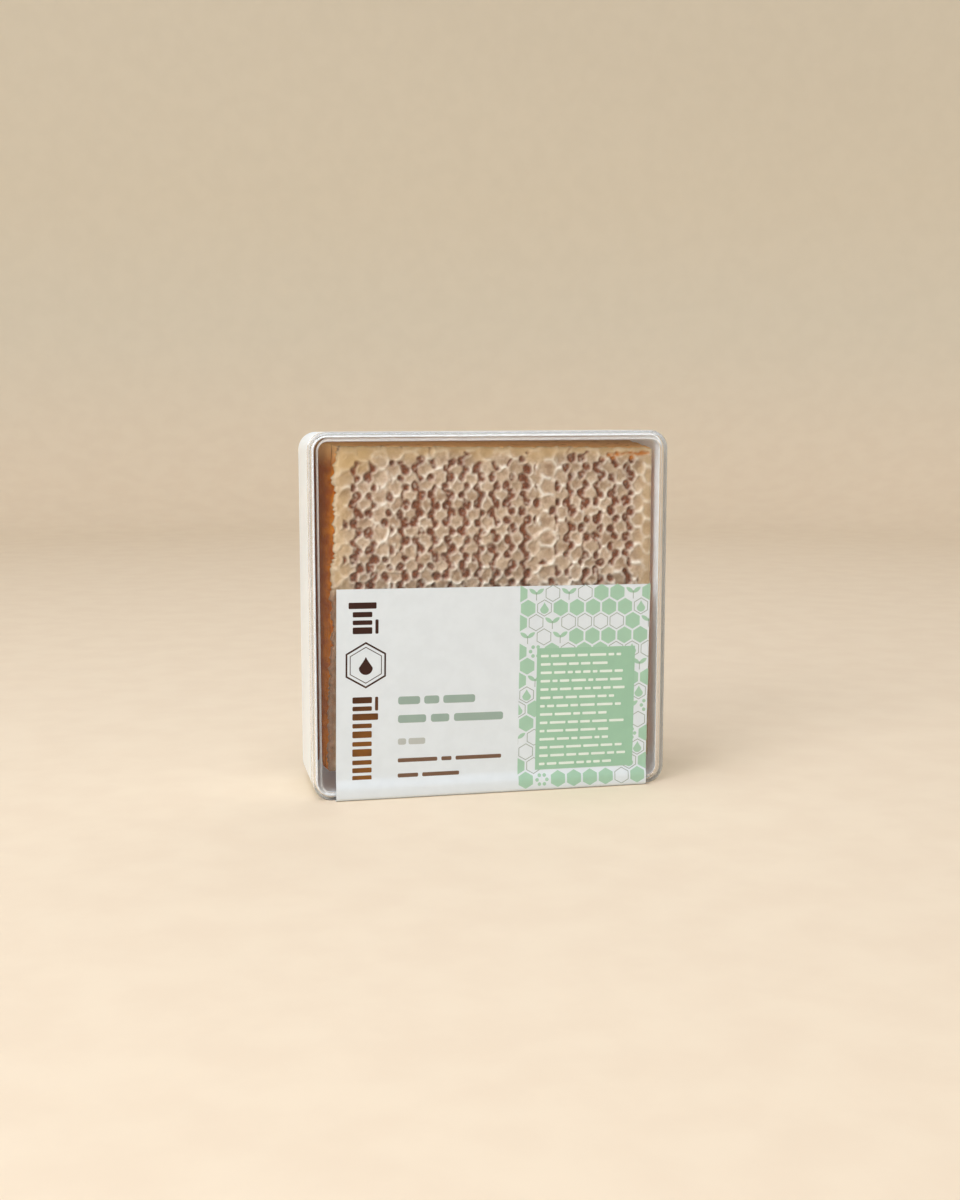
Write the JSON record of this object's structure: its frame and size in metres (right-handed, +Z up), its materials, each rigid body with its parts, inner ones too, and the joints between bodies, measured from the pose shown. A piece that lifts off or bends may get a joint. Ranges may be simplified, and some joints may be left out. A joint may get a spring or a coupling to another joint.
{
  "type": "packed honeycomb",
  "caption": "Square piece of capped honeycomb in a white tray with a clear lid, a paper label wrapped round its lower half, standing on its edge.",
  "frame": {"origin": "middle of the underside of the pack, on the surface it stands on", "axes": "+X to the right across the clear lid, +Y from the lid to the back of the tray, +Z up"},
  "size_m": [0.105, 0.0356, 0.1053],
  "materials": {
    "tray": "white moulded plastic, soft gloss",
    "lid": "clear moulded plastic, polished",
    "label": "white printed paper, satin, with plain green, grey and brown print",
    "capping": "pale wax capping, waxy sheen, with raised rings and dark pits",
    "pale_honey": "honey in cut cells, wet gloss",
    "dark_honey": "darker honey in cut cells, wet gloss"
  },
  "bodies": {
    "root": {"tray": "tray", "lid": "lid", "label": "label", "wax_capping": "capping", "honey_cells_front": "pale_honey", "honey_cells_back": "dark_honey"}
  },
  "joints": []
}
